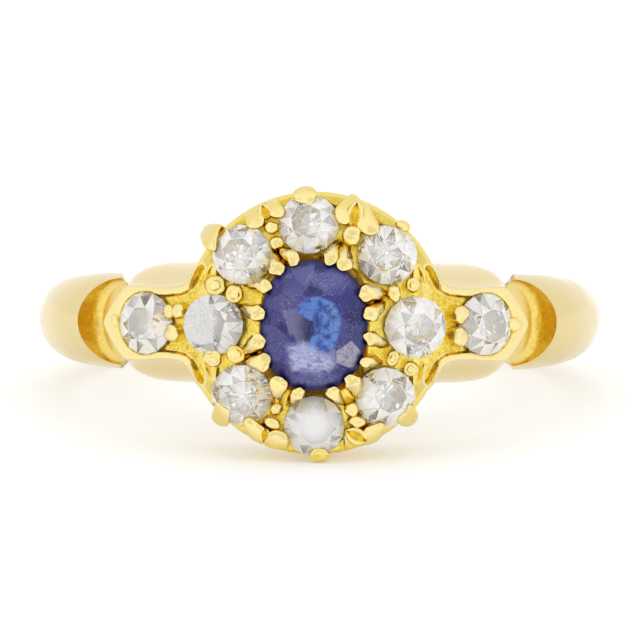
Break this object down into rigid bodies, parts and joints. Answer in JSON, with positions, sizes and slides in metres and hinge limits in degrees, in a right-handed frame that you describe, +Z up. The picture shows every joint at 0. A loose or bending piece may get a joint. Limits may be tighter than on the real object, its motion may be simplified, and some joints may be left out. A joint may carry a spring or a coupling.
{
  "type": "cluster ring",
  "caption": "Gold cluster ring: an oval blue stone in a circle of old-cut clear stones, with one more in each pointed, scooped shoulder, lying on its side as it rests.",
  "frame": {"origin": "on the surface that the ring lies on, below the middle of its box", "axes": "+Z up, the head faces -Y and a little up, +X to the viewer's right when facing the head; the finger axis leans 10.6 degrees from +Z towards +Y"},
  "size_m": [0.0202, 0.0226, 0.0096],
  "materials": {
    "gold": "polished 18 carat yellow gold, worn smooth",
    "blue_stone": "faceted sapphire with light surface wear",
    "clear_stone": "old-cut diamond, polished facets"
  },
  "bodies": {
    "root": {"gold_mount": "gold", "sapphire": "blue_stone", "diamond_1": "clear_stone", "diamond_2": "clear_stone", "diamond_3": "clear_stone", "diamond_4": "clear_stone", "diamond_5": "clear_stone", "diamond_6": "clear_stone", "diamond_7": "clear_stone", "diamond_8": "clear_stone", "shoulder_diamond_left": "clear_stone", "shoulder_diamond_right": "clear_stone"}
  },
  "joints": []
}
